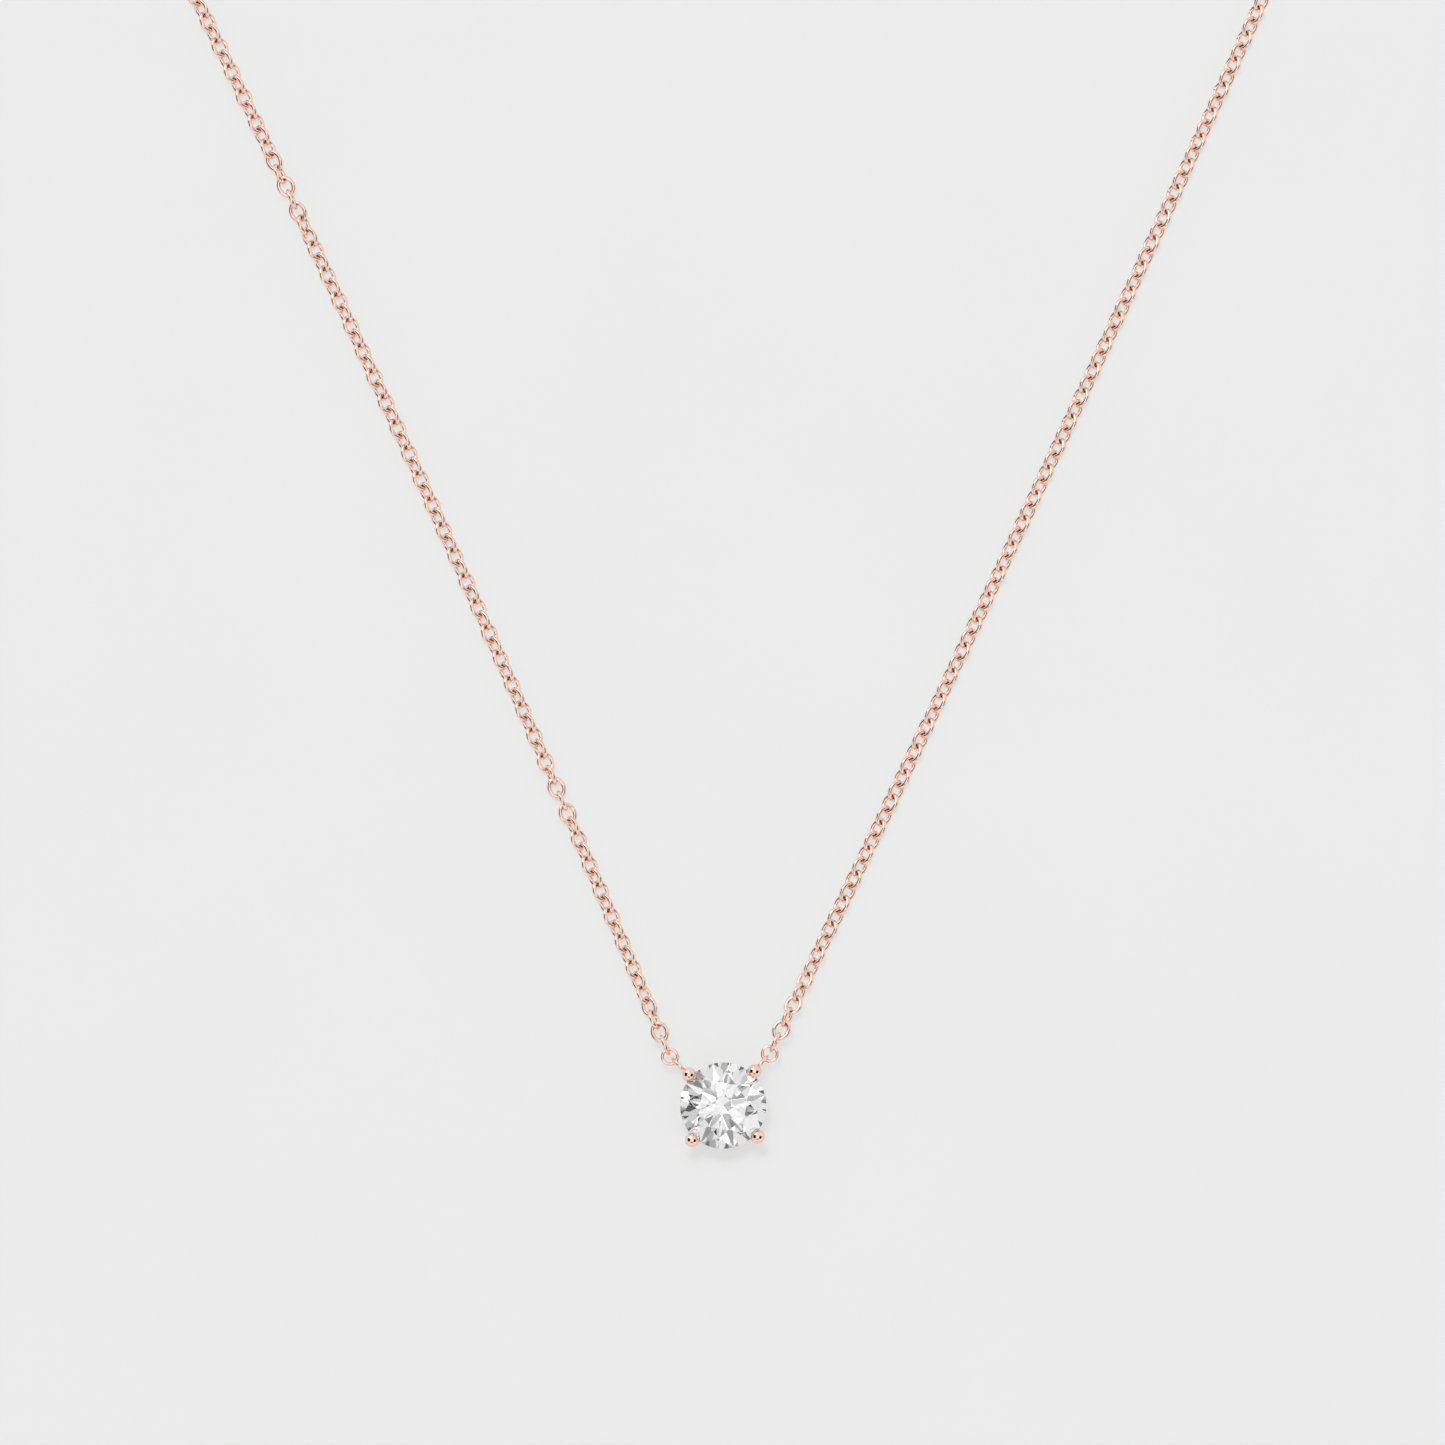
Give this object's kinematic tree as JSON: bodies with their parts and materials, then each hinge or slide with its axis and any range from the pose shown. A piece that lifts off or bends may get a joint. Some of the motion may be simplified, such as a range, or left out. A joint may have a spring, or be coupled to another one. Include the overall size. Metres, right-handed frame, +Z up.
{
  "type": "chain necklace",
  "caption": "Fine chain necklace: a round brilliant solitaire in a four-prong ball-tipped head, hung by two rings from a plain cable chain with a lobster clasp.",
  "frame": {"origin": "middle of the footprint of the whole necklace as it lies on a table, at table height", "axes": "+X to the right side of the chain, +Y from the pendant towards the clasp, +Z up from the table and out through the table of the stone"},
  "size_m": [0.1179, 0.1852, 0.0044],
  "materials": {
    "rose_gold": "polished",
    "stone": "faceted and polished"
  },
  "bodies": {
    "head": {"stone": "stone", "prong_1": "rose_gold", "prong_2": "rose_gold", "prong_3": "rose_gold", "prong_4": "rose_gold", "base_rail": "rose_gold", "gallery_rail": "rose_gold", "soldered_loop_left": "rose_gold", "soldered_loop_right": "rose_gold"},
    "ring_left": {"hanging_ring_left": "rose_gold"},
    "left_01": {"chain_left_01": "rose_gold", "chain_left_01_between": "rose_gold"},
    "left_02": {"chain_left_02": "rose_gold", "chain_left_02_between": "rose_gold"},
    "left_03": {"chain_left_03": "rose_gold", "chain_left_03_between": "rose_gold"},
    "left_04": {"chain_left_04": "rose_gold", "chain_left_04_between": "rose_gold"},
    "left_05": {"chain_left_05": "rose_gold", "chain_left_05_between": "rose_gold"},
    "left_06": {"chain_left_06": "rose_gold", "chain_left_06_between": "rose_gold"},
    "left_07": {"chain_left_07": "rose_gold", "chain_left_07_between": "rose_gold"},
    "left_08": {"chain_left_08": "rose_gold", "chain_left_08_between": "rose_gold"},
    "left_09": {"chain_left_09": "rose_gold", "chain_left_09_between": "rose_gold"},
    "left_10": {"chain_left_10": "rose_gold", "chain_left_10_between": "rose_gold"},
    "jump_ring": {"clasp_jump_ring": "rose_gold"},
    "clasp": {"clasp_body": "rose_gold", "clasp_pin": "rose_gold", "clasp_spring": "rose_gold"},
    "lever": {"clasp_lever": "rose_gold"},
    "ring_right": {"hanging_ring_right": "rose_gold"},
    "right_01": {"chain_right_01": "rose_gold", "chain_right_01_between": "rose_gold"},
    "right_02": {"chain_right_02": "rose_gold", "chain_right_02_between": "rose_gold"},
    "right_03": {"chain_right_03": "rose_gold", "chain_right_03_between": "rose_gold"},
    "right_04": {"chain_right_04": "rose_gold", "chain_right_04_between": "rose_gold"},
    "right_05": {"chain_right_05": "rose_gold", "chain_right_05_between": "rose_gold"},
    "right_06": {"chain_right_06": "rose_gold", "chain_right_06_between": "rose_gold"},
    "right_07": {"chain_right_07": "rose_gold", "chain_right_07_between": "rose_gold"},
    "right_08": {"chain_right_08": "rose_gold", "chain_right_08_between": "rose_gold"},
    "right_09": {"chain_right_09": "rose_gold", "chain_right_09_between": "rose_gold"},
    "right_10": {"chain_right_10": "rose_gold", "chain_right_10_between": "rose_gold"},
    "end_ring": {"end_ring": "rose_gold"}
  },
  "joints": [
    {"name": "ring_tilt_left", "type": "hinge", "parent": "head", "child": "ring_left", "pos_m": [-0.00361, -0.08563, 0.00185], "axis": [-0.6717, -0.7408, 0], "range_deg": [-25, 25]},
    {"name": "bend_left_01", "type": "hinge", "parent": "ring_left", "child": "left_01", "pos_m": [-0.00424, -0.08473, 0.00185], "axis": [0.924, 0.3824, 0], "range_deg": [-25, 25]},
    {"name": "bend_left_02", "type": "hinge", "parent": "left_01", "child": "left_02", "pos_m": [-0.01286, -0.06433, 0.0007], "axis": [-0.9184, -0.3953, 0.0159], "range_deg": [-25, 25]},
    {"name": "bend_left_03", "type": "hinge", "parent": "left_02", "child": "left_03", "pos_m": [-0.02139, -0.04492, 0.0006], "axis": [0.7478, 0.3343, -0.5736], "range_deg": [-25, 25]},
    {"name": "bend_left_04", "type": "hinge", "parent": "left_03", "child": "left_04", "pos_m": [-0.03018, -0.02563, 0.00059], "axis": [0.7417, 0.3426, -0.5766], "range_deg": [-25, 25]},
    {"name": "bend_left_05", "type": "hinge", "parent": "left_04", "child": "left_05", "pos_m": [-0.04016, -0.00456, 0.0006], "axis": [-0.7378, -0.3559, 0.5736], "range_deg": [-25, 25]},
    {"name": "bend_left_06", "type": "hinge", "parent": "left_05", "child": "left_06", "pos_m": [-0.04937, 0.01453, 0.0006], "axis": [0.7377, 0.356, -0.5736], "range_deg": [-25, 25]},
    {"name": "bend_left_07", "type": "hinge", "parent": "left_06", "child": "left_07", "pos_m": [-0.05756, 0.03403, 0.0006], "axis": [-0.7946, -0.1991, 0.5736], "range_deg": [-25, 25]},
    {"name": "bend_left_08", "type": "hinge", "parent": "left_07", "child": "left_08", "pos_m": [-0.05757, 0.05504, 0.0006], "axis": [-0.8003, 0.1746, 0.5736], "range_deg": [-25, 25]},
    {"name": "bend_left_09", "type": "hinge", "parent": "left_08", "child": "left_09", "pos_m": [-0.04824, 0.07387, 0.0006], "axis": [0.6394, -0.512, -0.5736], "range_deg": [-25, 25]},
    {"name": "bend_left_10", "type": "hinge", "parent": "left_09", "child": "left_10", "pos_m": [-0.03151, 0.0866, 0.0006], "axis": [-0.3455, 0.7427, 0.5736], "range_deg": [-25, 25]},
    {"name": "jump_ring_swing", "type": "hinge", "parent": "left_10", "child": "jump_ring", "pos_m": [-0.01089, 0.0906, 0.00089], "axis": [-0.0283, 0.8192, 0.5729], "range_deg": [-20, 20]},
    {"name": "clasp_swing", "type": "hinge", "parent": "jump_ring", "child": "clasp", "pos_m": [-0.00982, 0.0906, 0.00088], "axis": [0, -0.342, 0.9397], "range_deg": [-25, 25]},
    {"name": "lever_press", "type": "hinge", "parent": "clasp", "child": "lever", "pos_m": [-0.00643, 0.09025, 0.0009], "axis": [0, 0, 1], "range_deg": [0, 22], "stiffness_Nm_per_rad": 0.0002, "springref_deg": -5.73},
    {"name": "ring_tilt_right", "type": "hinge", "parent": "head", "child": "ring_right", "pos_m": [0.00314, -0.08544, 0.00185], "axis": [0.7408, -0.6717, 0], "range_deg": [-25, 25]},
    {"name": "bend_right_01", "type": "hinge", "parent": "ring_right", "child": "right_01", "pos_m": [0.00376, -0.08452, 0.00185], "axis": [-0.8997, 0.4365, 0], "range_deg": [-25, 25]},
    {"name": "bend_right_02", "type": "hinge", "parent": "right_01", "child": "right_02", "pos_m": [0.01335, -0.06455, 0.00053], "axis": [-0.6709, 0.3195, 0.6691], "range_deg": [-25, 25]},
    {"name": "bend_right_03", "type": "hinge", "parent": "right_02", "child": "right_03", "pos_m": [0.0224, -0.04538, 0.00053], "axis": [0.6732, -0.3148, -0.6691], "range_deg": [-25, 25]},
    {"name": "bend_right_04", "type": "hinge", "parent": "right_03", "child": "right_04", "pos_m": [0.03131, -0.02614, 0.00053], "axis": [0.6754, -0.31, -0.6691], "range_deg": [-25, 25]},
    {"name": "bend_right_05", "type": "hinge", "parent": "right_04", "child": "right_05", "pos_m": [0.04095, -0.00491, 0.00053], "axis": [-0.6778, 0.3048, 0.6691], "range_deg": [-25, 25]},
    {"name": "bend_right_06", "type": "hinge", "parent": "right_05", "child": "right_06", "pos_m": [0.04964, 0.01443, 0.00053], "axis": [0.6778, -0.3047, -0.6691], "range_deg": [-25, 25]},
    {"name": "bend_right_07", "type": "hinge", "parent": "right_06", "child": "right_07", "pos_m": [0.05713, 0.0342, 0.00053], "axis": [-0.7277, 0.1506, 0.6691], "range_deg": [-25, 25]},
    {"name": "bend_right_08", "type": "hinge", "parent": "right_07", "child": "right_08", "pos_m": [0.05641, 0.05521, 0.00053], "axis": [-0.7214, -0.1785, 0.6691], "range_deg": [-25, 25]},
    {"name": "bend_right_09", "type": "hinge", "parent": "right_08", "child": "right_09", "pos_m": [0.0467, 0.07386, 0.00053], "axis": [0.5735, 0.4726, -0.6691], "range_deg": [-25, 25]},
    {"name": "bend_right_10", "type": "hinge", "parent": "right_09", "child": "right_10", "pos_m": [0.02988, 0.08647, 0.00053], "axis": [0.3132, 0.6739, -0.6691], "range_deg": [-25, 25]},
    {"name": "end_ring_swing", "type": "hinge", "parent": "right_10", "child": "end_ring", "pos_m": [0.00931, 0.0906, 0.00116], "axis": [-0.0713, 0.7431, -0.6653], "range_deg": [-18, 18]}
  ]
}
